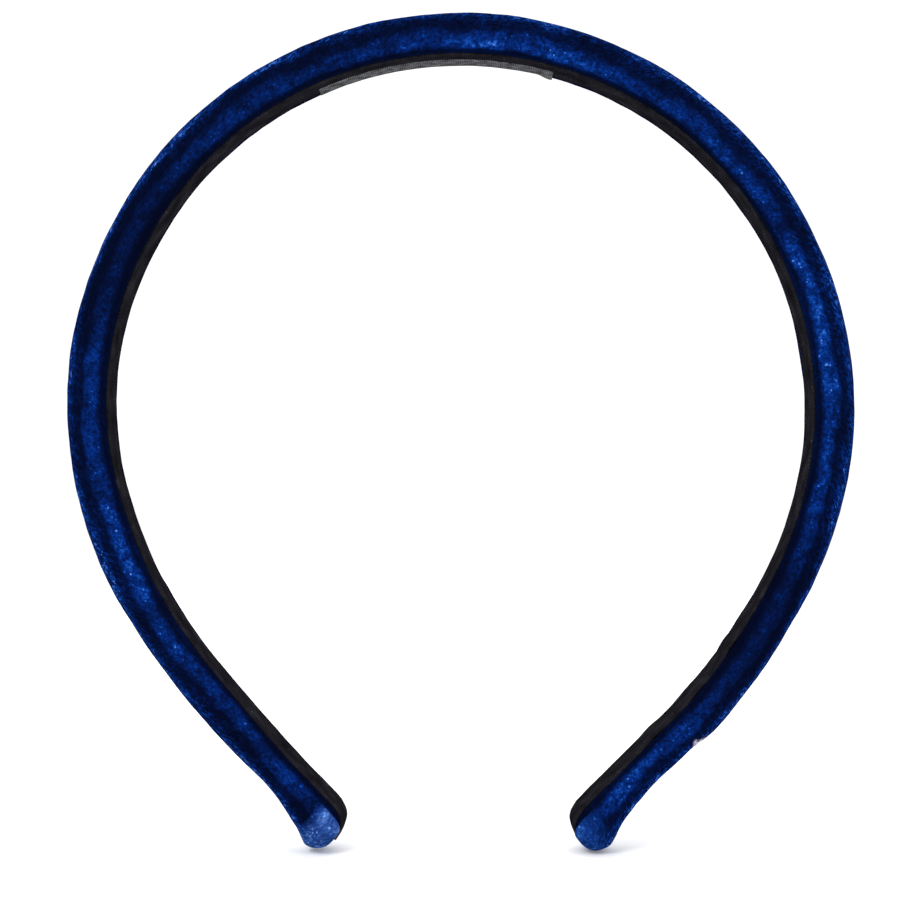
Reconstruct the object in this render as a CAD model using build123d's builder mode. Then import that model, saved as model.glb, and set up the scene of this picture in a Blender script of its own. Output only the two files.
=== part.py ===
from build123d import *
import os
from math import sin, cos, exp, pi, radians, tan

os.makedirs("parts", exist_ok=True)

# A padded velvet Alice band that stands on its two tips.
# X runs across the head, Y along the width of the band, Z up.
# u is measured outwards from the inner face of the lining.

# --- the curve of the inner face -------------------------------------------
HEAD_RADIUS = 66.0          # inner face over the head
HEAD_ANGLE = 124.0          # how far round from the top the head arc runs
ARM_RADIUS = 228.0          # gentler curve of the lower arm
ARM_LENGTH = 50.6           # length of the lower arm up to the tip
FLEX_ANGLE = 48.0           # where each arm flexes, measured from the top

# --- the padded section ----------------------------------------------------
THICK_TOP = 8.8             # thickness at the top of the head
THICK_ARM = 8.3             # thickness low on the arms
WAIST = 0.9                 # how much the arm narrows above the foot
WAIST_BACK = 14.0           # from the foot to the middle of the waist
WAIST_LENGTH = 9.0
THICK_TIP = 9.0             # thickness of the foot at each tip
FOOT_LENGTH = 9.0           # the arm swells to the foot over this length
HALF_WIDTH_TOP = 9.0
HALF_WIDTH_TIP = 7.6
VELVET = 0.9                # pile and backing together
HEM_GAP = 3.0               # bare core between the two hems
COVER_U = 0.35              # where the cover starts, beside the lining

# --- lining, label and core ------------------------------------------------
LINING = 0.6
LINING_HALF_WIDTH = 5.2
LABEL_DEPTH = 0.4
LABEL_SUNK = 0.05
LABEL_FROM = -24.0
LABEL_TO = 15.5
LABEL_Y0 = -0.8
LABEL_Y1 = 5.0
CORE = 1.6
CORE_SETBACK = 2.3          # core edge to cover edge, each side
CORE_EASE = 0.02            # between the core and the hems under it
CORE_U = LINING + VELVET
TIP_PATCH = 0.9
LINING_WRAP = 80.0          # how far the lining turns round a tip

# --- the flexing gap -------------------------------------------------------
PIVOT_U = CORE_U + CORE / 2
OPEN_RANGE = 18.0
CLOSE_RANGE = 8.0
GAP = 0.3

HEAD_LENGTH = HEAD_RADIUS * radians(HEAD_ANGLE)
HALF_LENGTH = HEAD_LENGTH + ARM_LENGTH
FLEX_LENGTH = HEAD_RADIUS * radians(FLEX_ANGLE)
TIP_ANGLE = radians(HEAD_ANGLE) + ARM_LENGTH / ARM_RADIUS
TIP_U = (LINING + THICK_TIP) / 2
TIP_RADIUS = (THICK_TIP - LINING) / 2
ARM_SHIFT = HEAD_RADIUS - ARM_RADIUS

# height of the head centre that puts the lowest point of the tips at Z = 0
TIP_DROP = ARM_SHIFT * cos(radians(HEAD_ANGLE)) + (ARM_RADIUS + TIP_U) * cos(TIP_ANGLE)
CENTRE_Z = TIP_RADIUS + TIP_PATCH - TIP_DROP


def station(s):
    """Plane across the band at length s from the top: x outwards, z along the band."""
    beyond = max(0.0, s - HALF_LENGTH)
    s = min(s, HALF_LENGTH)
    if s <= HEAD_LENGTH:
        a = s / HEAD_RADIUS
        x = HEAD_RADIUS * sin(a)
        z = CENTRE_Z + HEAD_RADIUS * cos(a)
    else:
        a = radians(HEAD_ANGLE) + (s - HEAD_LENGTH) / ARM_RADIUS
        x = ARM_SHIFT * sin(radians(HEAD_ANGLE)) + ARM_RADIUS * sin(a)
        z = CENTRE_Z + ARM_SHIFT * cos(radians(HEAD_ANGLE)) + ARM_RADIUS * cos(a)
    x = x + beyond * cos(a)
    z = z - beyond * sin(a)
    return Plane(
        origin=(x, 0, z),
        x_dir=(sin(a), 0, cos(a)),
        z_dir=(cos(a), 0, -sin(a)),
    )


def thickness(s):
    s = min(abs(s), HALF_LENGTH)
    foot = max(0.0, (s - HALF_LENGTH + FOOT_LENGTH) / FOOT_LENGTH)
    foot = foot * foot * (3 - 2 * foot)
    waist = exp(-(((s - HALF_LENGTH + WAIST_BACK) / WAIST_LENGTH) ** 2))
    plain = THICK_TOP + (THICK_ARM - THICK_TOP) * s / HALF_LENGTH
    return (plain - WAIST * waist) * (1 - foot) + THICK_TIP * foot


def half_width(s):
    f = min(abs(s), HALF_LENGTH) / HALF_LENGTH
    return HALF_WIDTH_TOP + (HALF_WIDTH_TIP - HALF_WIDTH_TOP) * f


def padded_section(low, high, flat, wide, ridge):
    """Flat inside, full at the ridge, domed outside."""
    rise = ridge - low
    dome = high - ridge
    with BuildSketch() as section:
        with BuildLine():
            Line((low, -flat), (low, flat))
            Bezier((low, flat), (low, flat + 0.6 * (wide - flat)), (ridge - 0.45 * rise, wide), (ridge, wide))
            Bezier((ridge, wide), (ridge + 0.56 * dome, wide), (high, 0.56 * wide), (high, 0))
            Bezier((high, 0), (high, -0.56 * wide), (ridge + 0.56 * dome, -wide), (ridge, -wide))
            Bezier((ridge, -wide), (ridge - 0.45 * rise, -wide), (low, -flat - 0.6 * (wide - flat)), (low, -flat))
        make_face()
    return section.sketch


def cover_solid(lengths, grow=0.0):
    """The outside of the velvet through the given lengths."""
    with BuildPart() as body:
        for s in lengths:
            t = thickness(s) + grow
            b = half_width(s) + grow
            with BuildSketch(station(s)):
                add(padded_section(COVER_U - grow, t, b - 1.9, b, 0.42 * t))
        loft()
    return body.part


def cavity_solid(lengths):
    """The space inside the velvet, which the core and foam fill."""
    with BuildPart() as body:
        for s in lengths:
            t = thickness(s)
            b = half_width(s)
            with BuildSketch(station(s)):
                add(padded_section(CORE_U - CORE_EASE, t - VELVET, b - 2.1, b - VELVET, 0.42 * t))
        loft()
    return body.part


def core_solid(lengths, below=0.0):
    """The springy strip. A tool that cuts its bed reaches a little below it."""
    with BuildPart() as body:
        for s in lengths:
            with BuildSketch(station(s)):
                with Locations((CORE_U + (CORE - below) / 2, 0)):
                    Rectangle(CORE + below, 2 * (half_width(s) - CORE_SETBACK))
        loft()
    return body.part


def ring(r0, r1, a0, a1, y0, y1, centre=(0.0, 0.0)):
    """Part of a ring about Y, between two angles from the top, on the +X side."""
    mid = (a0 + a1) / 2
    points = []
    for r, a in ((r0, a0), (r0, mid), (r0, a1), (r1, a1), (r1, mid), (r1, a0)):
        points.append((centre[0] + r * sin(radians(a)), centre[1] + r * cos(radians(a))))
    with BuildPart() as body:
        with BuildSketch(Plane.XZ.offset(-y1)):
            with BuildLine():
                ThreePointArc(points[0], points[1], points[2])
                Line(points[2], points[3])
                ThreePointArc(points[3], points[4], points[5])
                Line(points[5], points[0])
            make_face()
        extrude(amount=y1 - y0)
    return body.part


def block_along(s, points, half=20.0):
    """A prism across the band, drawn in u and in length past s."""
    here = station(s)
    corners = [here.origin + u * here.x_dir + w * here.z_dir for u, w in points]
    with BuildPart() as body:
        with BuildSketch(Plane.XZ.offset(-half)):
            with BuildLine():
                Polyline(*[(c.X, c.Z) for c in corners], close=True)
            make_face()
        extrude(amount=2 * half)
    return body.part


def tip_cylinder(radius):
    """The round that ends each layer at a tip."""
    here = station(HALF_LENGTH)
    axis = here.origin + TIP_U * here.x_dir
    with BuildPart() as body:
        with BuildSketch(Plane.XZ.offset(-20)):
            with Locations((axis.X, axis.Z)):
                Circle(radius)
        extrude(amount=40)
    return body.part


def beyond_tip(radius):
    """All the room past the tip that lies outside the round."""
    room = block_along(HALF_LENGTH, [(-6, 0), (14, 0), (14, 12), (-6, 12)])
    return room - tip_cylinder(radius)


def flex_wedge():
    """Room at the top of an arm, so it can swing both ways and stay clear of the crown."""
    reach = 12.0
    outside = GAP + reach * tan(radians(OPEN_RANGE + 1))
    inside = GAP + reach * tan(radians(CLOSE_RANGE + 1))
    points = [
        (PIVOT_U - reach, -15),
        (PIVOT_U + reach, -15),
        (PIVOT_U + reach, outside),
        (PIVOT_U, GAP),
        (PIVOT_U - reach, inside),
    ]
    return block_along(FLEX_LENGTH, points)


def spread(start, end, count):
    return [start + (end - start) * i / (count - 1) for i in range(count)]


CROWN = spread(-FLEX_LENGTH - 4, FLEX_LENGTH + 4, 11)
ARM = spread(FLEX_LENGTH - 4, HEAD_LENGTH, 7) + spread(HEAD_LENGTH + 10, HALF_LENGTH, 11)
ARM_LONG = ARM + [HALF_LENGTH + 3, HALF_LENGTH + 6]

# --- crown -----------------------------------------------------------------
right_end = block_along(FLEX_LENGTH, [(-15, 0), (15, 0), (15, 15), (-15, 15)])
ends = right_end + right_end.mirror(Plane.YZ)
cover_shape = cover_solid(CROWN) - ends
cavity_shape = cavity_solid(CROWN) - ends
core_shape = core_solid(CROWN) - ends
core_bed = core_solid(CROWN, 0.6) - ends
lining_shape = ring(
    HEAD_RADIUS, HEAD_RADIUS + LINING, -FLEX_ANGLE, FLEX_ANGLE,
    -LINING_HALF_WIDTH, LINING_HALF_WIDTH, (0, CENTRE_Z),
)
hem_gap_shape = ring(
    HEAD_RADIUS + LINING, HEAD_RADIUS + CORE_U + 0.2, -FLEX_ANGLE - 1, FLEX_ANGLE + 1,
    -HEM_GAP / 2, HEM_GAP / 2, (0, CENTRE_Z),
)
label_pocket = ring(
    HEAD_RADIUS - 1, HEAD_RADIUS + LABEL_DEPTH, LABEL_FROM, LABEL_TO,
    LABEL_Y0, LABEL_Y1, (0, CENTRE_Z),
)
label_shape = ring(
    HEAD_RADIUS + LABEL_SUNK, HEAD_RADIUS + LABEL_DEPTH, LABEL_FROM, LABEL_TO,
    LABEL_Y0, LABEL_Y1, (0, CENTRE_Z),
)

with BuildPart() as core_crown:
    add(core_shape)
core_crown.part.label = "core_crown"
export_step(core_crown.part, "parts/core_crown.step")

with BuildPart() as foam_crown:
    add(cavity_shape)
    add(core_bed, mode=Mode.SUBTRACT)
foam_crown.part.label = "foam_crown"
export_step(foam_crown.part, "parts/foam_crown.step")

with BuildPart() as velvet_crown:
    add(cover_shape)
    add(cavity_shape, mode=Mode.SUBTRACT)
    add(lining_shape, mode=Mode.SUBTRACT)
    add(hem_gap_shape, mode=Mode.SUBTRACT)
velvet_crown.part.label = "velvet_crown"
export_step(velvet_crown.part, "parts/velvet_crown.step")

with BuildPart() as lining_crown:
    add(lining_shape)
    add(label_pocket, mode=Mode.SUBTRACT)
lining_crown.part.label = "lining_crown"
export_step(lining_crown.part, "parts/lining_crown.step")

with BuildPart() as woven_label:
    add(label_shape)
woven_label.part.label = "woven_label"
export_step(woven_label.part, "parts/woven_label.step")


# --- arms ------------------------------------------------------------------
def arm_strip(u0, u1, half):
    """A strip of even thickness down the whole inner face of the right arm."""
    elbow = (ARM_SHIFT * sin(radians(HEAD_ANGLE)), CENTRE_Z + ARM_SHIFT * cos(radians(HEAD_ANGLE)))
    tip = TIP_ANGLE * 180 / pi
    upper = ring(
        HEAD_RADIUS + u0, HEAD_RADIUS + u1, FLEX_ANGLE - 1, HEAD_ANGLE, -half, half, (0, CENTRE_Z)
    )
    lower = ring(ARM_RADIUS + u0, ARM_RADIUS + u1, HEAD_ANGLE, tip, -half, half, elbow)
    return upper + lower


def lining_turn():
    """The last of the lining, turned round the tip."""
    here = station(HALF_LENGTH)
    centre = here.origin + TIP_U * here.x_dir
    start = TIP_ANGLE * 180 / pi + 180
    return ring(
        TIP_RADIUS, TIP_RADIUS + LINING, start - LINING_WRAP, start,
        -LINING_HALF_WIDTH, LINING_HALF_WIDTH, (centre.X, centre.Z),
    )


wedge = flex_wedge()
cover_shape = cover_solid(ARM_LONG) - beyond_tip(TIP_RADIUS) - wedge
cavity_shape = cavity_solid(ARM_LONG) - beyond_tip(TIP_RADIUS - VELVET) - wedge
core_shape = core_solid(ARM) - wedge
core_bed = core_solid(ARM, 0.6) - wedge
lining_shape = arm_strip(0, LINING, LINING_HALF_WIDTH) + lining_turn() - wedge
hem_gap_shape = arm_strip(LINING, CORE_U + 0.2, HEM_GAP / 2)
patch_room = block_along(HALF_LENGTH, [(TIP_U, 0.3), (14, 0.3), (14, 12), (TIP_U, 12)])
patch_shape = cover_solid(ARM_LONG[-3:], TIP_PATCH) - beyond_tip(TIP_RADIUS + TIP_PATCH)

with BuildPart() as core_right:
    add(core_shape)
with BuildPart() as foam_right:
    add(cavity_shape)
    add(core_bed, mode=Mode.SUBTRACT)
with BuildPart() as velvet_right:
    add(cover_shape)
    add(cavity_shape, mode=Mode.SUBTRACT)
    add(lining_shape, mode=Mode.SUBTRACT)
    add(hem_gap_shape, mode=Mode.SUBTRACT)
with BuildPart() as lining_right:
    add(lining_shape)
with BuildPart() as tip_patch_right:
    add(patch_shape)
    add(patch_room, mode=Mode.INTERSECT)
    add(cover_shape, mode=Mode.SUBTRACT)
    add(lining_shape, mode=Mode.SUBTRACT)

right_arm = {
    "core": core_right.part,
    "foam": foam_right.part,
    "velvet": velvet_right.part,
    "lining": lining_right.part,
    "tip_patch": tip_patch_right.part,
}
for word, solid in right_arm.items():
    solid.label = word + "_right"
    export_step(solid, "parts/" + word + "_right.step")
    with BuildPart() as left_arm_piece:
        add(solid.mirror(Plane.YZ))
    left_arm_piece.part.label = word + "_left"
    export_step(left_arm_piece.part, "parts/" + word + "_left.step")
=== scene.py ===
import math

import bpy
import numpy as np
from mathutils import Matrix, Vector, noise


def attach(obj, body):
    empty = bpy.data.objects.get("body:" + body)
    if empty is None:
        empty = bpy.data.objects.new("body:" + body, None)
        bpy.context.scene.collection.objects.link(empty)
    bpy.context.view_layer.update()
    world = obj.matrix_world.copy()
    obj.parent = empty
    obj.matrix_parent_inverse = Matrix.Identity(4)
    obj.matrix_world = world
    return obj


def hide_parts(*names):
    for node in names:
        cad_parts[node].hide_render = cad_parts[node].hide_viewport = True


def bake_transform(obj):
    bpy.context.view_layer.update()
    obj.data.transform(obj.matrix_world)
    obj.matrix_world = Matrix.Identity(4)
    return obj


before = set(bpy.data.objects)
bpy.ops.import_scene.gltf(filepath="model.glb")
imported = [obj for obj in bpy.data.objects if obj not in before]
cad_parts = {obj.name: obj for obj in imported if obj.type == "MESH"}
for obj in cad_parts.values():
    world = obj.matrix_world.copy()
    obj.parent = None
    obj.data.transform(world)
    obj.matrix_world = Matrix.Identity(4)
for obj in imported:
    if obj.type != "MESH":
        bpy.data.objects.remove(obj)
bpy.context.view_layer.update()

MM = 0.001

# --- the curve of the band, in mm -------------------------------------------
HEAD_RADIUS = 66.0
HEAD_ANGLE = math.radians(124.0)
ARM_RADIUS = 228.0
ARM_LENGTH = 50.6
CENTRE_Z = 83.98
HEAD_LENGTH = HEAD_RADIUS * HEAD_ANGLE
HALF_LENGTH = HEAD_LENGTH + ARM_LENGTH
ROLL_CENTRE = 3.6   # the section rolls about this height above the lining
SIDES = ((-1, "left"), (1, "right"))

# --- the layers, in mm --------------------------------------------------------
COVER_U = 0.1       # where the cover starts, beside the lining
VELVET = 0.9        # room for the cover
CLOTH = 0.81        # the cover itself
CORE_U = 1.5
CORE = 1.6
CORE_SETBACK = 2.3  # core edge to cover edge, each side
HEM_U = 0.52        # height of the hems above the cover's low edge
RIDGE = 0.385       # height of the widest line, as a share of the thickness
FULLNESS = 0.56     # how square the dome is: 0 for a tent, 1 for a box
EDGE = 2.0          # width of the rounded edge towards the lining


def smooth(x, a, b):
    q = np.clip((np.asarray(x, float) - a) / (b - a), 0, 1)
    return q * q * (3 - 2 * q)


def bump(x, centre, width):
    return np.exp(-(((np.asarray(x, float) - centre) / width) ** 2))


def spine(s, side):
    """Point, outward and forward directions of the inner face at lengths s from the top."""
    s = np.asarray(s, float)
    beyond = np.maximum(0, s - HALF_LENGTH)
    c = np.minimum(s, HALF_LENGTH)
    head = c <= HEAD_LENGTH
    a = np.where(head, c / HEAD_RADIUS, HEAD_ANGLE + (c - HEAD_LENGTH) / ARM_RADIUS)
    shift = HEAD_RADIUS - ARM_RADIUS
    radius = np.where(head, HEAD_RADIUS, ARM_RADIUS)
    x = radius * np.sin(a) + np.where(head, 0, shift * math.sin(HEAD_ANGLE))
    z = radius * np.cos(a) + np.where(head, 0, shift * math.cos(HEAD_ANGLE))
    out = np.stack([np.sin(a), np.zeros_like(a), np.cos(a)], -1)
    fwd = np.stack([np.cos(a), np.zeros_like(a), -np.sin(a)], -1)
    p = np.stack([x, np.zeros_like(a), CENTRE_Z + z], -1) + beyond[..., None] * fwd
    # the arms are not quite alike: each bows out and in at places of its own
    if side > 0:
        bow = 0.5 * bump(s, 160, 22) + 0.6 * bump(s, 157, 15) - 0.25 * bump(s, 178, 9)
        bow = bow - 0.2 * smooth(s, 178, 195)
    else:
        bow = 0.55 * bump(s, 150, 13) - 0.4 * bump(s, 155, 24) - 0.55 * bump(s, 126, 15)
    bow = bow + 0.3 * bump(s, HALF_LENGTH + 0.5, 4)
    p = p + bow[..., None] * out
    flip = np.array([side, 1, 1])
    return p * flip, out * flip, fwd * flip


def thickness(s, side):
    """Lining to ridge: slimmer down the arm, with a waist above the swollen foot."""
    f = np.clip(np.asarray(s, float) / HALF_LENGTH, 0, 1)
    foot = smooth(s, HALF_LENGTH - (12 if side < 0 else 9), HALF_LENGTH)
    top_t, loss, waist = 8.8, 0.5, 0.9
    foot_t = 9.5 if side < 0 else 8.9
    plain = top_t - loss * f - waist * bump(s, HALF_LENGTH - 14, 9)
    if side < 0:
        # fuller half-way down, and less of a waist
        plain = plain + 0.55 * bump(s, 126, 15) + 0.2 * bump(s, HALF_LENGTH - 14, 9)
    return plain * (1 - foot) + foot_t * foot


def half_width(s):
    """Middle to edge, from front to back: the band narrows evenly towards its tips."""
    f = np.clip(np.asarray(s, float) / HALF_LENGTH, 0, 1)
    top_w, loss = 9.0, 1.4
    return top_w - loss * f


def twist(s):
    """The band rolls a little towards the tips, so that more of the lining shows there."""
    return np.radians(2.4 * smooth(s, 125, HALF_LENGTH - 12))


END_T = float(thickness(HALF_LENGTH, 1))
END_U = (END_T + COVER_U) / 2
END_R = (END_T - COVER_U) / 2
BLUNT = 2.4       # 2 would be a round end
BLUNT_WIDE = 2.8


def end_scale(s):
    """How far the section has closed in, in u and y: 1 up to the last station, 0 at the tip."""
    w = np.clip((np.asarray(s, float) - HALF_LENGTH) / END_R, 0, 1)
    return tuple(np.maximum(0, 1 - w**k) ** (1 / k) for k in (BLUNT, BLUNT_WIDE))


def end_slant(s, u, side):
    """The end is cut on a slant: its outer side reaches further than its lining side."""
    slope, back = (0.15, 2.0) if side < 0 else (0.12, 1.1)
    cut = slope * (np.asarray(u, float) - END_U) - back
    return cut * smooth(s, HALF_LENGTH - 3, HALF_LENGTH + 3)


def rolled(u, y, a):
    """A point of the section after the section has rolled by the angle a."""
    lever = u - ROLL_CENTRE
    return ROLL_CENTRE + lever * np.cos(a) - y * np.sin(a), lever * np.sin(a) + y * np.cos(a)


def place(s, u, y, side):
    """Points of a section at length s, with u outwards from the lining and y across."""
    s, u, y = np.broadcast_arrays(np.asarray(s, float), u, y)
    ku, ky = end_scale(s)
    u = END_U + (u - END_U) * ku if np.any(ku < 1) else u
    u, y = rolled(u, y * (0.15 + 0.85 * ky), twist(s))
    p, out, fwd = spine(np.minimum(s, HALF_LENGTH + END_R), side)
    across = y[..., None] * np.array([0, 1, 0])
    return p + u[..., None] * out + across + end_slant(s, u, side)[..., None] * fwd


def cubic(p, q):
    """Points of the cubic curve with the control points p."""
    p, q = np.array(p, float), q[:, None]
    r = 1 - q
    return r**3 * p[0] + 3 * q * r**2 * p[1] + 3 * q * q * r * p[2] + q**3 * p[3]


def cover_ring(s, side, shrink=0.0):
    """Half the padded outline as (u, y, f), from the middle of the dome to the hem.

    f says where a point is: 0 middle of the dome, 1 ridge, 2 edge of the lining, 3 hem."""
    t = float(thickness(s, side)) - shrink
    b = float(half_width(s)) - shrink
    low = COVER_U + shrink
    ridge = RIDGE * t
    flat = b - EDGE
    dome = [(t, 0), (t, FULLNESS * b), (ridge + FULLNESS * (t - ridge), b), (ridge, b)]
    roll = [(ridge, b), (ridge - 0.5 * (ridge - low), b)]
    roll += [(low - 0.1, flat + 0.75 * (b - flat)), (low + 0.5, flat - 0.1)]
    dome = cubic(dome, np.linspace(0, 1, 27))
    roll = cubic(roll, np.linspace(0, 1, 17))[1:]
    hem = np.array([(low + HEM_U, y) for y in np.linspace(flat - 0.6, 1.5, 5)])
    f = np.concatenate([np.linspace(0, 1, 27), np.linspace(1, 2, 17)[1:], np.linspace(2.1, 3, 5)])
    pts = np.concatenate([dome, roll, hem])
    return pts[:, 0], pts[:, 1], f


def grid_mesh(name, points, uv=None, band=None, close_ring=True, cap_ends=True, flip=False):
    """A mesh from points [station, ring]. UVMap is the cloth in cm, Band is (along in cm, f)."""
    n, m = points.shape[:2]
    verts = (points.reshape(-1, 3) * MM).tolist()
    faces = []
    ring = m if close_ring else m - 1
    for i in range(n - 1):
        for j in range(ring):
            k = (j + 1) % m
            q = (i * m + j, i * m + k, (i + 1) * m + k, (i + 1) * m + j)
            faces.append(q[::-1] if flip else q)
    if cap_ends:
        first = tuple(range(m))
        last = tuple((n - 1) * m + j for j in range(m))
        faces.append(first if flip else first[::-1])
        faces.append(last[::-1] if flip else last)
    mesh = bpy.data.meshes.new(name)
    mesh.from_pydata(verts, [], faces)
    index = np.zeros(len(mesh.loops), np.int32)
    mesh.loops.foreach_get("vertex_index", index)
    for layer, values in (("UVMap", uv), ("Band", band)):
        if values is not None:
            flat = values.reshape(-1, 2)[index].astype(np.float32)
            mesh.uv_layers.new(name=layer).data.foreach_set("uv", flat.ravel())
    mesh.polygons.foreach_set("use_smooth", [True] * len(mesh.polygons))
    mesh.update()
    obj = bpy.data.objects.new(name, mesh)
    bpy.context.scene.collection.objects.link(obj)
    return obj


UV_START = 300.0    # mm; keeps the cloth's own lengths above zero

# the rubbed spot low on the outside of the right arm: its place in cm of cloth, how much each
# distance from it counts, its colour, and the dent under it, in mm: how far down the arm, how
# far round the cloth, and its depth
RUBBED_AT = (46.9, -0.45, 0.0)
RUBBED_SHAPE = (0.7, 0.5, 1.0)
RUBBED_COLOUR = (0.42, 0.40, 0.47, 1)
DENT_S, DENT_V, DENT_DEPTH = 171, -2.5, 0.30


def lumps(s, v):
    """Slow unevenness of the padding and the cloth over it, in mm. The patches share it."""
    a = noise.noise(Vector((s / 17.0, v * 0.55, 3.0)))
    b = noise.noise(Vector((s / 6.0, v * 1.3, 10.0)))
    c = noise.noise(Vector((s / 2.2, v * 3.0, 16.0)))
    return 0.22 * a + 0.11 * b + 0.05 * c


# --- materials ---------------------------------------------------------------
def new_material(name):
    mat = bpy.data.materials.new(name)
    mat.use_nodes = True
    nt = mat.node_tree
    nt.nodes.clear()
    out = nt.nodes.new("ShaderNodeOutputMaterial")
    bsdf = nt.nodes.new("ShaderNodeBsdfPrincipled")
    nt.links.new(bsdf.outputs[0], out.inputs[0])
    return mat, nt, bsdf


def node(nt, kind, **values):
    n = nt.nodes.new(kind)
    for key, value in values.items():
        if key.startswith("in_"):
            name = key[3:].replace("_", " ")
            socket = n.inputs[int(name)] if name.isdigit() else n.inputs[name]
            if hasattr(value, "is_output"):
                nt.links.new(value, socket)
            else:
                socket.default_value = value
        else:
            setattr(n, key, value)
    return n


def math_node(nt, op, a, b=None, clamp=False):
    n = nt.nodes.new("ShaderNodeMath")
    n.operation = op
    n.use_clamp = clamp
    for i, value in enumerate((a, b)):
        if value is None:
            continue
        if hasattr(value, "is_output"):
            nt.links.new(value, n.inputs[i])
        else:
            n.inputs[i].default_value = value
    return n.outputs[0]


def times(nt, a, b):
    return math_node(nt, "MULTIPLY", a, b)


def plus(nt, a, b):
    return math_node(nt, "ADD", a, b)


def minus(nt, a, b):
    return math_node(nt, "SUBTRACT", a, b)


def mix(nt, fac, a, b):
    """Colour a where fac is 0, b where it is 1."""
    return node(nt, "ShaderNodeMix", data_type="RGBA", in_0=fac, in_6=a, in_7=b).outputs[2]


def noise_node(nt, vector, scale, detail, **more):
    return node(nt, "ShaderNodeTexNoise", in_Vector=vector, in_Scale=scale, in_Detail=detail,
                **more).outputs[0]


def relief(nt, height, strength, distance=0.0001, **more):
    return node(nt, "ShaderNodeBump", in_Strength=strength, in_Distance=distance,
                in_Height=height, **more).outputs[0]


def cloth(nt, bsdf, colour, normal, roughness=0.9):
    """Cloth has no gloss of its own."""
    nt.links.new(colour, bsdf.inputs["Base Color"])
    nt.links.new(normal, bsdf.inputs["Normal"])
    bsdf.inputs["Roughness"].default_value = roughness
    bsdf.inputs["Specular IOR Level"].default_value = 0.0


def ramp(nt, fac, stops, ease=True):
    n = nt.nodes.new("ShaderNodeValToRGB")
    n.color_ramp.interpolation = "EASE" if ease else "LINEAR"
    while len(n.color_ramp.elements) > 1:
        n.color_ramp.elements.remove(n.color_ramp.elements[0])
    for i, (pos, colour) in enumerate(stops):
        e = n.color_ramp.elements[0] if i == 0 else n.color_ramp.elements.new(pos)
        e.position = pos
        e.color = colour if len(colour) == 4 else (*colour, 1)
    nt.links.new(fac, n.inputs[0])
    return n.outputs[0]


def grey(v):
    return (v, v, v, 1)


def shade(nt, fac, stops):
    """A ramp of greys, from (place, level) pairs."""
    return ramp(nt, fac, [(pos, grey(level)) for pos, level in stops])


def flecks(nt, vector, scale, core, edge, rarity):
    """Small spots, one in the middle of some cells of the pattern: fewer as rarity nears 1."""
    cells = node(nt, "ShaderNodeTexVoronoi", in_Vector=vector, in_Scale=scale, in_Randomness=1.0)
    chosen = node(nt, "ShaderNodeSeparateColor", in_0=cells.outputs["Color"]).outputs[0]
    dot = shade(nt, cells.outputs["Distance"], [(core, 1), (edge, 0)])
    return times(nt, dot, math_node(nt, "GREATER_THAN", chosen, rarity))


def rubbed_spot(nt, uv):
    """1 where the cloth is rubbed through, with a ragged edge."""
    offset = node(nt, "ShaderNodeVectorMath", operation="SUBTRACT", in_0=uv,
                  in_1=RUBBED_AT).outputs[0]
    ragged = noise_node(nt, uv, 9.0, 4.0, in_Roughness=0.8)
    offset = node(nt, "ShaderNodeVectorMath", operation="MULTIPLY", in_0=offset,
                  in_1=RUBBED_SHAPE).outputs[0]
    far = node(nt, "ShaderNodeVectorMath", operation="LENGTH", in_0=offset).outputs["Value"]
    ragged = times(nt, minus(nt, ragged, 0.5), 0.30)
    return shade(nt, plus(nt, far, ragged), [(0.06, 1), (0.11, 0)])


COVER_BLUES = ((0.0008, 0.0016, 0.008), (0.0012, 0.0145, 0.115), (0.005, 0.050, 0.26))


def pile_colour(nt, tone, blues):
    """The colour of the pile from its tone, through a dark, a middle and a bright blue."""
    dark, mid, bright = blues
    top = (0.6 * bright[0] + 0.05, 1.6 * bright[1] + 0.06, 1.5 * bright[2] + 0.06)
    level = math_node(nt, "MULTIPLY", tone, 0.4, clamp=True)
    return ramp(nt, level, [(0.0, dark), (0.28, mid), (0.66, bright), (1.0, top)], ease=False)


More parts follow.
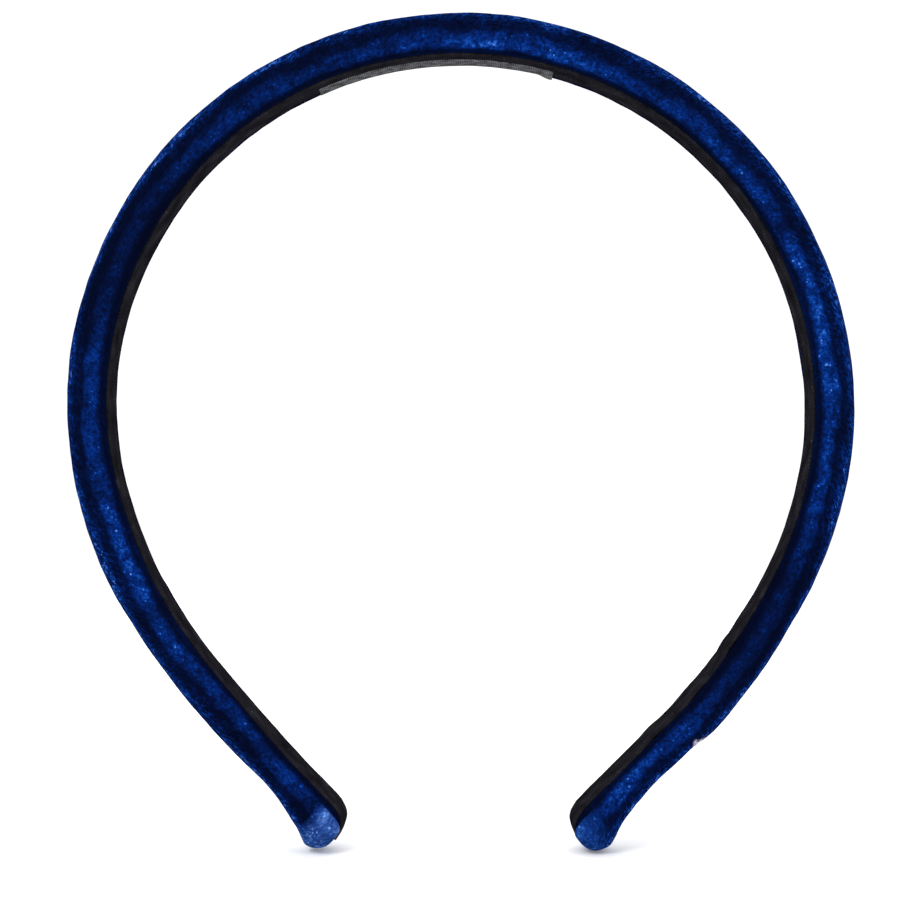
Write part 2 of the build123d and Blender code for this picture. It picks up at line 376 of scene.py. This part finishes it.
def velvet(name, blues, lift=0.0, tufts=0.25, fade=None):
    """Crushed pile. lift lightens a patch, and tufts is how far the short slanting strokes show.

    fade gives the lengths in cm between which a patch goes from the cover's blues to its own."""
    mat, nt, bsdf = new_material(name)
    uv = node(nt, "ShaderNodeUVMap", uv_map="UVMap").outputs[0]
    band = node(nt, "ShaderNodeUVMap", uv_map="Band").outputs[0]
    parts = node(nt, "ShaderNodeSeparateXYZ", in_0=band)
    along, across = parts.outputs[0], math_node(nt, "ABSOLUTE", parts.outputs[1])

    # how brightly the pile shows along the band, from the left tip to the right one: the pile's
    # lay, with painted shade in the hollow beside each tip patch
    place_s = times(nt, plus(nt, along, 20.0), 1 / 40)
    lay_and_shade = shade(nt, place_s, [
        (0.008, 1.3), (0.0185, 1.0), (0.0235, 0.5), (0.029, 0.22), (0.04, 0.66), (0.108, 0.46),
        (0.13, 0.95), (0.165, 1.25), (0.19, 1.15), (0.21, 0.52), (0.235, 0.85), (0.265, 0.62),
        (0.29, 0.25), (0.33, 0.14), (0.39, 0.45), (0.46, 0.46), (0.495, 0.98), (0.56, 0.95),
        (0.605, 0.5), (0.645, 0.78), (0.672, 0.55), (0.71, 2.0), (0.74, 1.25), (0.76, 0.65),
        (0.79, 0.95), (0.82, 0.45), (0.87, 0.18), (0.905, 0.36), (0.93, 0.95), (0.976, 0.95),
        (0.986, 0.6), (0.995, 1.2),
    ])
    waver = noise_node(nt, uv, 0.7, 3.0, in_Roughness=0.6)
    waver = times(nt, minus(nt, waver, 0.5), 0.55)
    # near the top and along the arms the painted highlight runs closer to the lining
    shift = shade(nt, place_s, [
        (0.03, 0.08), (0.06, 0.12), (0.1, 0.14), (0.13, 0.04), (0.15, 0.0), (0.18, 0.0),
        (0.205, 0.14), (0.225, 0.0), (0.34, 0.0), (0.39, 0.18), (0.45, 0.22), (0.56, 0.3),
        (0.6, 0.22), (0.675, 0.2), (0.7, 0.0), (0.91, 0.0), (0.93, 0.06), (0.95, 0.0),
    ])
    low_side = shade(nt, times(nt, across, 1 / 3), [(0.23, 0.22), (0.5, 1)])
    shift = times(nt, shift, low_side)
    shifted = minus(nt, plus(nt, across, waver), shift)
    place_f = times(nt, shifted, 1 / 3)
    # painted light and shade across the band: a painted sheen over the outer edge, a dark band, a
    # painted highlight along the edge of the band, and painted shade from there down to the
    # lining
    sheen_highlight_and_shade = shade(nt, place_f, [
        (0.0, 0.40), (0.08, 0.50), (0.14, 0.58), (0.19, 0.30), (0.225, 0.12), (0.27, 0.09),
        (0.315, 0.62), (0.37, 0.84), (0.42, 0.70), (0.46, 0.24), (0.50, 0.04), (0.60, 0.09),
        (1.0, 0.12),
    ])
    # the painted sheen on the outer edge is as bright all round, whatever the pile's lay along
    # the band
    rim_sheen_zone = shade(nt, place_f, [(0.13, 1), (0.23, 0)])
    even = times(nt, rim_sheen_zone, minus(nt, 1.15, lay_and_shade))
    lay_and_shade = plus(nt, lay_and_shade, even)
    patch = noise_node(nt, uv, 0.9, 2.0, in_Distortion=0.6)
    patch = shade(nt, patch, [(0.32, 0.40), (0.52, 0.95), (0.68, 1.35)])
    crush = noise_node(nt, uv, 4.2, 3.0, in_Roughness=0.6, in_Distortion=0.7)
    crush = shade(nt, crush, [(0.36, 0.45), (0.52, 0.95), (0.66, 1.35)])
    # tufts lean across the cloth, so they show as short slanting strokes, strongest over the dome
    slant = node(nt, "ShaderNodeMapping", vector_type="TEXTURE", in_Vector=uv,
                 in_Rotation=(0, 0, 0.9), in_Scale=(0.105, 0.055, 1.0)).outputs[0]
    strokes = noise_node(nt, slant, 1.0, 4.0, in_Roughness=0.7, in_Distortion=0.8)
    stroke_tone = shade(nt, strokes, [(0.38, 0.05), (0.5, 0.75), (0.61, 3.0)])
    pile = noise_node(nt, uv, 15.0, 3.0, in_Roughness=0.75)
    pile_tone = shade(nt, pile, [(0.36, 0.30), (0.5, 0.85), (0.64, 1.9)])
    dome = shade(nt, place_f, [(0.22, 1), (0.32, tufts)])
    detail = mix(nt, dome, pile_tone, stroke_tone)
    # painted glints: bright specks where a few tufts stand up and catch the light
    painted_glint = flecks(nt, uv, 11.0, 0.12, 0.30, 0.74)
    tone = times(nt, sheen_highlight_and_shade, patch)
    tone = times(nt, tone, times(nt, crush, lay_and_shade))
    # a patch starts as dark as the cloth beside it and lightens towards the tip
    if fade:
        start, end = fade
        wander = times(nt, waver, 0.25)
        ragged_along = plus(nt, math_node(nt, "ABSOLUTE", along), wander)
        tipward = minus(nt, ragged_along, start)
        tipward = times(nt, tipward, 1 / (end - start))
        tipward = shade(nt, tipward, [(0.0, 0), (1.0, 1)])
        tone = plus(nt, tone, times(nt, tipward, lift))
        detail = mix(nt, times(nt, tipward, 0.55), detail, grey(1.0))
    painted_glint = times(nt, times(nt, painted_glint, tone), 2.3)
    tone = plus(nt, times(nt, tone, detail), painted_glint)
    colour = pile_colour(nt, tone, blues)
    if fade:
        colour = mix(nt, tipward, pile_colour(nt, tone, COVER_BLUES), colour)
    # the cloth is rubbed through at one small spot on the outside of the right arm
    colour = mix(nt, rubbed_spot(nt, uv), colour, RUBBED_COLOUR)
    # painted sheen mixed into the colour: standing fibres catch the light where the cloth turns
    # away
    facing = node(nt, "ShaderNodeLayerWeight", in_Blend=0.5).outputs["Facing"]
    painted_fuzz_sheen = times(nt, shade(nt, facing, [(0.80, 0), (0.97, 0.6)]), pile)
    outer = shade(nt, times(nt, across, 1 / 3), [(0.2, 1), (0.32, 0)])
    colour = mix(nt, times(nt, painted_fuzz_sheen, outer), colour, (0.07, 0.075, 0.22, 1))
    fine = times(nt, plus(nt, pile, strokes), 0.5)
    rough = relief(nt, fine, 0.9, 0.0003)
    cloth(nt, bsdf, colour, relief(nt, crush, 0.6, 0.0005, in_Normal=rough))
    bsdf.inputs["Sheen Weight"].default_value = 0.02
    bsdf.inputs["Sheen Roughness"].default_value = 0.3
    bsdf.inputs["Sheen Tint"].default_value = (0.06, 0.20, 0.8, 1)
    return mat


def ribbon_material():
    mat, nt, bsdf = new_material("charcoal_ribbon")
    uv = node(nt, "ShaderNodeUVMap", uv_map="UVMap").outputs[0]
    ribs = node(nt, "ShaderNodeTexWave", in_Vector=uv, in_Scale=7.5, in_Distortion=1.2,
                in_Detail=2.0, in_Detail_Scale=3.0, wave_type="BANDS",
                bands_direction="X").outputs[1]
    wear = noise_node(nt, uv, 2.4, 5.0)
    thread = noise_node(nt, uv, 26.0, 2.0)
    mixed = plus(nt, times(nt, ribs, 0.1), times(nt, wear, 0.55))
    mixed = plus(nt, mixed, times(nt, thread, 0.3))
    colour = ramp(nt, mixed, [(0.32, (0.003, 0.0029, 0.0038)), (0.47, (0.0085, 0.008, 0.0105)),
                              (0.66, (0.022, 0.021, 0.025))])
    # a few bits of lint
    lint = flecks(nt, uv, 6.0, 0.05, 0.13, 0.86)
    colour = mix(nt, lint, colour, (0.07, 0.055, 0.06, 1))
    # the cut end at the left tip has frayed and browned
    where = node(nt, "ShaderNodeSeparateXYZ", in_0=uv).outputs[0]
    fray = plus(nt, where, times(nt, minus(nt, wear, 0.5), 0.25))
    fray = shade(nt, minus(nt, fray, 9.8), [(0.18, 0.9), (0.36, 0)])
    fray = times(nt, fray, shade(nt, thread, [(0.4, 0.25), (0.62, 1)]))
    cloth(nt, bsdf, mix(nt, fray, colour, (0.085, 0.030, 0.028, 1)), relief(nt, mixed, 0.6))
    return mat


def label_material():
    mat, nt, bsdf = new_material("woven_label")
    uv = node(nt, "ShaderNodeUVMap", uv_map="UVMap").outputs[0]
    warp, weft = [node(nt, "ShaderNodeTexWave", in_Vector=uv, in_Scale=scale, in_Distortion=0.5,
                       wave_type="BANDS", bands_direction=direction).outputs[1]
                  for scale, direction in ((9.0, "X"), (7.0, "Y"))]
    weave = plus(nt, times(nt, warp, 0.5), times(nt, weft, 0.5))
    soil = noise_node(nt, uv, 5.0, 5.0, in_Roughness=0.65)
    mixed = plus(nt, times(nt, weave, 0.25), times(nt, soil, 0.75))
    colour = ramp(nt, mixed, [(0.36, (0.020, 0.019, 0.018)), (0.5, (0.058, 0.059, 0.062)),
                              (0.62, (0.135, 0.138, 0.152))])
    cloth(nt, bsdf, colour, relief(nt, weave, 0.7), roughness=0.8)
    return mat


def mottled(name, low, high, scale, roughness):
    """A hidden material that is faintly uneven."""
    mat, nt, bsdf = new_material(name)
    where = node(nt, "ShaderNodeTexCoord").outputs["Object"]
    spots = noise_node(nt, where, scale, 4.0)
    nt.links.new(ramp(nt, spots, [(0.3, low), (0.7, high)]), bsdf.inputs["Base Color"])
    bsdf.inputs["Roughness"].default_value = roughness
    nt.links.new(relief(nt, spots, 0.5, 0.0002), bsdf.inputs["Normal"])
    return mat


velvet_mat = velvet("crushed_blue_velvet", COVER_BLUES)
LEFT_BLUES = ((0.0014, 0.007, 0.035), (0.012, 0.040, 0.18), (0.075, 0.16, 0.42))
RIGHT_BLUES = ((0.0010, 0.004, 0.025), (0.004, 0.026, 0.15), (0.03, 0.10, 0.35))
patch_left_mat = velvet("tip_velvet", LEFT_BLUES, lift=0.50, tufts=0.45, fade=(18.85, 19.22))
patch_right_mat = velvet("tip_velvet_dark", RIGHT_BLUES, lift=0.55, tufts=0.45,
                         fade=(18.95, 19.75))
ribbon_mat = ribbon_material()
label_mat = label_material()
foam_mat = mottled("foam", (0.50, 0.48, 0.42), (0.62, 0.60, 0.54), 900, 0.95)
core_mat = mottled("core_plastic", (0.015, 0.015, 0.016), (0.03, 0.03, 0.031), 250, 0.45)


def bend_with_arm(obj):
    """Bakes the piece's placement into its mesh."""
    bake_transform(obj)


# --- velvet cover --------------------------------------------------------------
def run_of(u, y):
    """Length along the cloth from the middle of the dome."""
    return np.concatenate([[0], np.cumsum(np.hypot(np.diff(u), np.diff(y)))])


def both_sides(half):
    """A half ring's values, and the same with a minus sign for the other half."""
    return np.concatenate([-half[::-1], half[1:]])


def make_cover(side, word):
    fine = np.arange(0, HALF_LENGTH, 0.55)
    tail = HALF_LENGTH + END_R * np.sin(np.linspace(0, math.pi / 2, 14))
    stations = np.concatenate([fine, tail])
    rows, uvs, bands = [], [], []
    for s in stations:
        u, y, f = cover_ring(min(s, HALF_LENGTH), side)
        u_all = np.concatenate([u[::-1], u[1:]])
        y_all, v_all, f_all = [both_sides(half) for half in (y, run_of(u, y), f)]
        du = np.gradient(u_all)
        dy = np.gradient(y_all)
        size = np.hypot(du, dy) + 1e-9
        nu, ny = dy / size, -du / size
        if nu[len(nu) // 2] < 0:
            nu, ny = -nu, -ny
        visible = 1 - smooth(np.abs(f_all), 1.75, 2.0)
        # both halves share the noise near the top, where they meet
        rough = 1 + (0.9 * float(smooth(s, 140, 165)) if side > 0 else 0.2)
        d = np.array([lumps(s * side, v / 2) for v in v_all]) * visible * rough
        if side > 0:
            # the dent of the rubbed spot
            d = d - DENT_DEPTH * bump(s, DENT_S, 3.0) * bump(v_all, DENT_V, 5.0)
        u_all = u_all + nu * d
        y_all = y_all + ny * d
        # the inside of the cloth, so that the cover is a real thickness
        inner = np.arange(len(u_all) - 1, -1, -5)
        u_ring = np.concatenate([u_all, u_all[inner] - nu[inner] * CLOTH])
        y_ring = np.concatenate([y_all, y_all[inner] - ny[inner] * CLOTH])
        v_ring = np.concatenate([v_all, v_all[inner]])
        f_ring = np.concatenate([f_all, f_all[inner]])
        rows.append(place(s, u_ring, y_ring, side))
        uvs.append(np.stack([np.full(len(u_ring), (s * side + UV_START) / 10), v_ring / 10], -1))
        bands.append(np.stack([np.full(len(u_ring), s * side / 10), f_ring], -1))
    obj = grid_mesh("velvet_" + word, np.array(rows), np.array(uvs), np.array(bands),
                    flip=side > 0)
    obj.data.materials.append(velvet_mat)
    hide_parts("velvet_" + word, "velvet_crown")
    bend_with_arm(obj)


# --- foam and core --------------------------------------------------------------
def make_filling(side, word, name, ring_of, mat, end):
    step = 1.5  # mm
    stations = np.arange(0, end + 0.01, step)
    rows = [place(s, *ring_of(s), side) for s in stations]
    obj = grid_mesh(name + "_" + word, np.array(rows), flip=side > 0)
    obj.data.materials.append(mat)
    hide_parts(name + "_" + word, name + "_crown")
    bend_with_arm(obj)


def foam_ring(s):
    """The room inside the cover, less the core's notch."""
    u, y, f = cover_ring(s, 1, shrink=VELVET + 0.25)
    keep = f < 2
    u, y = u[keep][::2], y[keep][::2]
    core_half = float(half_width(s)) - CORE_SETBACK + 0.05
    notch_u = np.array([CORE_U + 0.1, CORE_U + CORE + 0.05])
    u = np.concatenate([u, notch_u])
    y = np.concatenate([y, [core_half, core_half]])
    return np.concatenate([u, u[:0:-1]]), np.concatenate([y, -y[:0:-1]])


def core_ring(s):
    """A flat strip with its corners cut."""
    h = float(half_width(s)) - CORE_SETBACK
    u0, u1 = CORE_U, CORE_U + CORE
    c = 0.35
    near = [(u0, h - c), (u0 + c, h), (u1 - c, h), (u1, h - c)]
    corners = np.array([(u0, -h + c), *near, (u1, -h + c), (u1 - c, -h), (u0 + c, -h)])
    return corners[:, 0], corners[:, 1]


# --- lining ----------------------------------------------------------------------
def ribbon_point(l, u, y, side):
    """Where a point of the lining lies, l along it. Past the last station it rounds the tip."""
    if l <= HALF_LENGTH:
        return place(np.array([l]), np.array([u]), np.array([y]), side)[0]
    beta = (l - HALF_LENGTH) / END_R
    p, out, fwd = spine(np.array([HALF_LENGTH]), side)
    r = END_R - (u - COVER_U)
    turned = END_U - r * math.copysign(abs(math.cos(beta)) ** (2 / BLUNT), math.cos(beta))
    u, y = rolled(turned, y, float(twist(HALF_LENGTH)))
    ahead = r * math.sin(beta) ** (2 / BLUNT) + float(end_slant(l, u, side))
    return (p + u * out + y * np.array([0, 1, 0]) + ahead * fwd)[0]


def make_lining(side, word):
    turn = math.radians(100 if side < 0 else 88)
    round_tip = np.arange(HALF_LENGTH, HALF_LENGTH + turn * END_R, 0.35)
    lengths = np.concatenate([np.arange(0, HALF_LENGTH, 0.7), round_tip])
    last = lengths[-1]
    rows, uvs = [], []
    for l in lengths:
        h = 4.8 + 0.3 * float(smooth(l, 120, HALF_LENGTH))
        h = h + 0.18 * noise.noise(Vector((l * side / 9.0, 0.3, 5.0)))
        narrow = float(smooth(l, last - 3.0, last))
        h = h * (1 - 0.35 * narrow)
        ys = np.linspace(-h, h, 15)
        edge = np.abs(ys) / h
        lift = 0.10 * noise.noise(Vector((l * side / 7.0, 4.0, 1.0)))
        over = 0.10 * float(smooth(l, HALF_LENGTH - 10, HALF_LENGTH + 1))
        over = over + 0.55 * float(smooth(l, HALF_LENGTH + 1, HALF_LENGTH + 4.5))
        if side > 0:
            # it puckers a little low on the right arm
            pucker = 0.7 * max(0.0, noise.noise(Vector((l / 5.5, 8.0, 3.0))))
            over = over + pucker * float(smooth(l, 135, 150)) * (1 - float(smooth(l, 178, 188)))
        # the ribbon's edges stand off the cover a little, unevenly
        fine = np.array([noise.noise(Vector((l * side / 3.0, y, 2.0))) for y in ys])
        u_free = 0.02 - over + 0.28 * edge**6 + lift * edge * edge + 0.05 * fine
        u_ring = np.concatenate([u_free, (u_free + 0.45)[::-1]])
        y_ring = np.concatenate([ys, ys[::-1] * 0.985])
        rows.append([ribbon_point(l, u, y, side) for u, y in zip(u_ring, y_ring)])
        uvs.append(np.stack([np.full(len(y_ring), (l * side + UV_START) / 10), y_ring / 10], -1))
    obj = grid_mesh("lining_" + word, np.array(rows), np.array(uvs), flip=side < 0)
    obj.data.materials.append(ribbon_mat)
    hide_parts("lining_" + word, "lining_crown")
    bend_with_arm(obj)


# --- label -----------------------------------------------------------------------
def make_label():
    start, end = math.radians(-24.0), math.radians(15.5)
    ys = np.linspace(-1.2, 4.75, 19)
    rows, uvs = [], []
    for q in np.linspace(0, 1, 111):
        s = (start + (end - start) * q) * HEAD_RADIUS
        side = 1 if s >= 0 else -1
        # one corner has come up a little
        corner = 0.45 * math.sin(math.pi * 0.62 * max(0.0, (q - 0.93) / 0.07)) ** 2
        under = np.array([-0.10 - 0.08 * noise.noise(Vector((s / 6.0, y / 4.0, 9.0)))
                          - corner * max(0.0, (y - 1.0) / 4.0) for y in ys])
        u_ring = np.concatenate([under, (under + 0.16)[::-1]])
        y_ring = np.concatenate([ys, ys[::-1]])
        rows.append(place(abs(s), u_ring, y_ring, side))
        uvs.append(np.stack([np.full(len(y_ring), s / 10), y_ring / 10], -1))
    obj = grid_mesh("label", np.array(rows), np.array(uvs))
    obj.data.materials.append(label_mat)
    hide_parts("woven_label")
    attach(obj, "crown")


# --- tip patches -------------------------------------------------------------------
PATCH_CLOTH = 0.0006  # metres


def make_patch(side, word):
    """The folded end of velvet over a tip: a soft cap that leaves the lining side open."""
    f_from, f_to = -1.50, 1.3
    start, end = HALF_LENGTH - 4.6, HALF_LENGTH + END_R * 0.995
    swell, unevenness = (0.35, 1.2) if side < 0 else (0.85, 1.9)
    f_all = np.linspace(f_from, f_to, 61)
    rows, uvs, bands = [], [], []
    for q in np.linspace(0, 1, 26):
        ring = []
        for f in f_all:
            half = 1 if f >= 0 else -1
            # the cut edge slants and wanders
            first = start - 0.4 * abs(f) + 0.6 * noise.noise(Vector((f * 1.7, side * 2.0, 4.0)))
            s = first + (end - first) * (0.35 * q + 0.65 * math.sin(q * math.pi / 2))
            u_r, y_r, f_r = cover_ring(min(s, HALF_LENGTH), side)
            u = np.interp(abs(f), f_r, u_r)
            y = np.interp(abs(f), f_r, y_r) * half
            v = float(np.interp(abs(f), f_r, run_of(u_r, y_r))) * half
            around = max(0, abs(f) - 0.02), abs(f) + 0.02
            du, dy = [np.diff(np.interp(around, f_r, values))[0] for values in (u_r, y_r)]
            size = math.hypot(du, dy) + 1e-9
            # it stands off the cover, least at its edges
            from_side = 1 - (1 - min(1.0, min(f - f_from, f_to - f) / 0.3)) ** 2
            puff = 0.80 * math.sqrt(max(0.0, from_side))
            puff += 0.10 * noise.noise(Vector((s / 1.6, f * 2.2, side * 9.0)))
            puff += 0.14 * noise.noise(Vector((s / 3.5, f * 1.0, side * 5.0)))
            puff = puff * float(smooth(q, 0.0, 0.50)) - 0.05
            puff += lumps(s * side, v / 2) * unevenness
            ring.append((s, u + dy / size * puff, y - du / size * half * puff, v))
        s, u, y, v = np.array(ring).T
        # the very end swells forward as well
        _, _, fwd = spine(np.array([HALF_LENGTH]), side)
        ahead = swell * smooth(s, HALF_LENGTH, HALF_LENGTH + END_R)
        rows.append(place(s, u, y, side) + fwd * ahead[:, None])
        uvs.append(np.stack([(s * side + UV_START) / 10, v / 10], -1))
        bands.append(np.stack([s * side / 10, f_all], -1))
    obj = grid_mesh("tip_patch_" + word, np.array(rows), np.array(uvs), np.array(bands),
                    close_ring=False, cap_ends=False, flip=side > 0)
    solid = obj.modifiers.new("thickness", "SOLIDIFY")
    solid.thickness = PATCH_CLOTH
    solid.offset = -1
    obj.data.materials.append(patch_left_mat if side < 0 else patch_right_mat)
    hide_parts("tip_patch_" + word)
    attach(obj, word + "_arm")


for side, word in SIDES:
    make_cover(side, word)
    make_filling(side, word, "foam", foam_ring, foam_mat, HALF_LENGTH)
    make_filling(side, word, "core", core_ring, core_mat, HALF_LENGTH - 0.5)
    make_lining(side, word)
    make_patch(side, word)
make_label()


# --- floor, light and camera -----------------------------------------------------------
def stage_material():
    mat, nt, bsdf = new_material("stage")
    where = node(nt, "ShaderNodeTexCoord").outputs["Object"]
    spots = noise_node(nt, where, 6.0, 3.0)
    nt.links.new(shade(nt, spots, [(0.3, 0.90), (0.7, 0.92)]), bsdf.inputs["Base Color"])
    bsdf.inputs["Roughness"].default_value = 0.9
    return mat


def make_floor():
    h = 3.0
    mesh = bpy.data.meshes.new("floor")
    mesh.from_pydata([(-h, -h, 0), (h, -h, 0), (h, h, 0), (-h, h, 0)], [], [(0, 1, 2, 3)])
    floor = bpy.data.objects.new("floor", mesh)
    bpy.context.scene.collection.objects.link(floor)
    mesh.materials.append(stage_material())


def area_light(name, where, aim, size, power):
    data = bpy.data.lights.new(name, "AREA")
    data.shape = "RECTANGLE"
    data.size, data.size_y = size
    data.energy = power
    lamp = bpy.data.objects.new(name, data)
    bpy.context.scene.collection.objects.link(lamp)
    lamp.location = where
    lamp.rotation_euler = (Vector(aim) - Vector(where)).to_track_quat("-Z", "Y").to_euler()


make_floor()
middle = (0, 0, 0.08)
area_light("key", (-0.45, -0.85, 0.75), middle, (0.5, 0.5), 7)
area_light("fill", (0.75, -0.65, 0.35), middle, (0.6, 0.6), 3)
area_light("front", (0.0, -1.0, 0.12), middle, (0.35, 0.35), 3)
area_light("back", (0.1, 0.9, 0.6), middle, (0.9, 0.6), 4)
world = bpy.data.worlds.new("studio")
world.use_nodes = True
sky = world.node_tree.nodes["Background"]
sky.inputs["Color"].default_value = (1.0, 1.0, 1.0, 1)
sky.inputs["Strength"].default_value = 1.12
bpy.context.scene.world = world
bpy.context.scene.view_settings.view_transform = "Standard"

camera_data = bpy.data.cameras.new("camera")
camera = bpy.data.objects.new("camera", camera_data)
bpy.context.scene.collection.objects.link(camera)
camera.location = (0.0001, -0.400, 0.07392)
camera.rotation_euler = (math.pi / 2, 0, 0)
camera_data.sensor_width = 36
camera_data.lens = 82.2
camera_data.clip_start = 0.01
camera_data.dof.use_dof = False
bpy.context.scene.camera = camera
